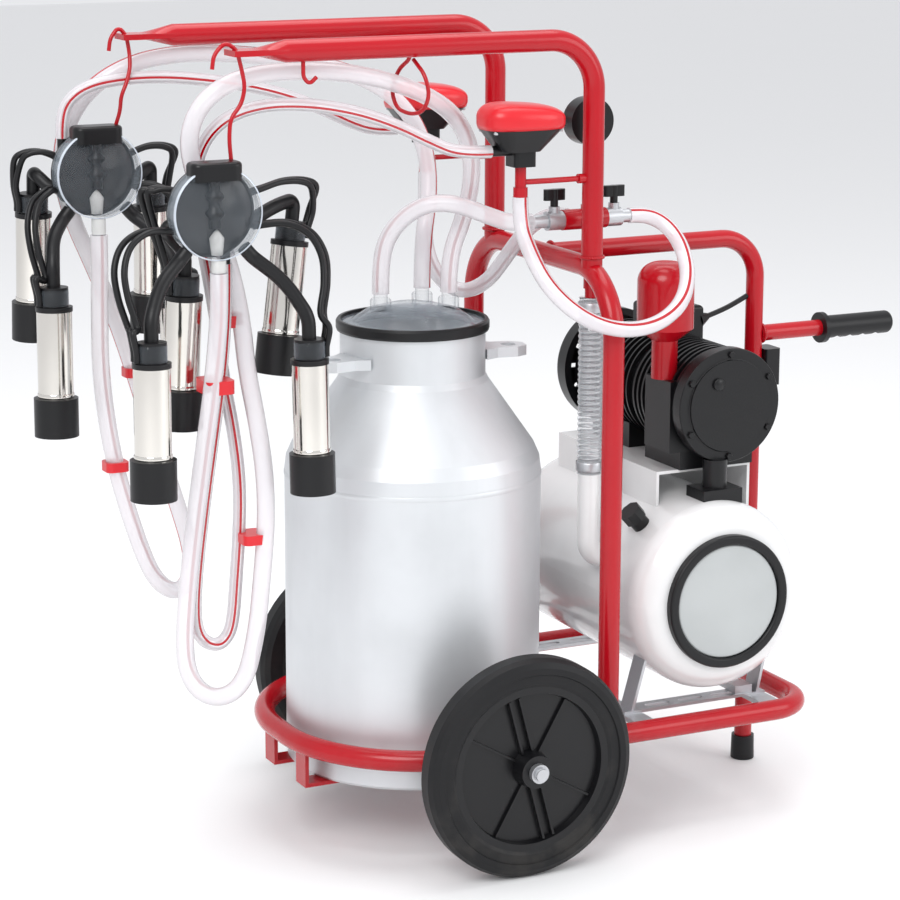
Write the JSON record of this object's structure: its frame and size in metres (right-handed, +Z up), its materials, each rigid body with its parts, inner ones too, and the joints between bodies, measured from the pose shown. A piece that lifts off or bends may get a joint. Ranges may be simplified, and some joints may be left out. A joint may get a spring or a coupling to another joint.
{
  "type": "milking machine",
  "caption": "Wheeled portable milking machine: tubular frame, lidded can, vacuum tank with pump, overhead arms, claws with teat cups, pulsators and clear hoses.",
  "frame": {"origin": "middle of the footprint of everything but the free hoses, on the floor", "axes": "+X to the rear, where the pull handle is; -Y is the near side, with the first cluster; +Z up"},
  "size_m": [1.2075, 0.608, 1.0335],
  "materials": {
    "red_paint": "gloss enamel",
    "rubber": "matt",
    "tyre": "matt",
    "black_plastic": "satin moulded",
    "switch_red": "gloss",
    "zinc_steel": "zinc plated",
    "cast_aluminium": "satin",
    "clear_plastic": "clear moulded",
    "white_enamel": "gloss enamel",
    "grey_cover": "satin",
    "black_castings": "semi-gloss paint",
    "motor_steel": "machined",
    "needle": "painted",
    "red_plastic": "gloss",
    "polished_steel": "polished",
    "clear_hose": "translucent soft PVC"
  },
  "bodies": {
    "machine": {"arm_far": "red_paint", "arm_near": "red_paint", "base_front_ring": "red_paint", "base_rear_bow": "red_paint", "can_body": "cast_aluminium", "can_lid": "clear_plastic", "can_straps": "red_paint", "claw_bowls": "clear_plastic", "claw_tops": "black_plastic", "cup_liners": "rubber", "cup_shells": "polished_steel", "fan_cover": "black_plastic", "far_milk_hose": "clear_hose", "far_pulse_hose": "clear_hose", "far_supply_hose": "clear_hose", "front_hoop": "red_paint", "gauge_case": "black_plastic", "handle_grip": "rubber", "hose_clips": "red_plastic", "lid_gasket": "rubber", "lid_vacuum_hose": "clear_hose", "motor_cable": "rubber", "motor_housing": "black_castings", "motor_stator": "motor_steel", "near_milk_hose": "clear_hose", "near_pulse_hose": "clear_hose", "near_supply_hose": "clear_hose", "oil_separator": "red_paint", "pulsator_bodies": "black_plastic", "pulsator_brackets": "red_paint", "pulsator_caps": "red_plastic", "pump_bracket": "white_enamel", "pump_cover": "black_castings", "pump_housing": "black_castings", "rear_foot": "rubber", "rear_frame": "red_paint", "short_milk_tubes": "rubber", "stub_axles": "zinc_steel", "suction_hose": "clear_hose", "switch_box": "black_plastic", "tank_cover": "grey_cover", "tank_plug": "black_plastic", "tank_seal_ring": "rubber", "tank_supports": "zinc_steel", "tap_bodies": "zinc_steel", "terminal_box": "black_plastic", "vacuum_manifold": "red_paint", "vacuum_tank": "white_enamel", "wire_hooks": "red_paint"},
    "wheel_near": {"rim_near": "black_plastic", "tyre_near": "tyre"},
    "wheel_far": {"rim_far": "black_plastic", "tyre_far": "tyre"},
    "rotor": {"rotor_shaft": "motor_steel", "pump_rotor": "motor_steel", "motor_fan": "black_plastic"},
    "tap_left": {"tap_knob_left": "black_plastic"},
    "tap_right": {"tap_knob_right": "black_plastic"},
    "gauge_pointer": {"gauge_needle": "needle"},
    "rocker": {"switch_rocker": "switch_red"}
  },
  "joints": [
    {"name": "wheel_near_spin", "type": "hinge", "parent": "machine", "child": "wheel_near", "pos_m": [-0.105, -0.262, 0.141], "axis": [0, 1, 0], "continuous": true},
    {"name": "wheel_far_spin", "type": "hinge", "parent": "machine", "child": "wheel_far", "pos_m": [-0.105, 0.262, 0.141], "axis": [0, 1, 0], "continuous": true},
    {"name": "rotor_spin", "type": "hinge", "parent": "machine", "child": "rotor", "pos_m": [0.247, 0, 0.543], "axis": [0, 1, 0], "continuous": true},
    {"name": "tap_left_turn", "type": "hinge", "parent": "machine", "child": "tap_left", "pos_m": [0.019, -0.088, 0.815], "axis": [0, 0, 1], "range_deg": [0, 90]},
    {"name": "tap_right_turn", "type": "hinge", "parent": "machine", "child": "tap_right", "pos_m": [0.105, -0.088, 0.815], "axis": [0, 0, 1], "range_deg": [0, 90]},
    {"name": "gauge_sweep", "type": "hinge", "parent": "machine", "child": "gauge_pointer", "pos_m": [0.064, -0.092, 0.914], "axis": [0, -1, 0], "range_deg": [0, 270]},
    {"name": "switch_rock", "type": "hinge", "parent": "machine", "child": "rocker", "pos_m": [0.408, 0, 0.56], "axis": [0, 1, 0], "range_deg": [-14, 0]}
  ]
}
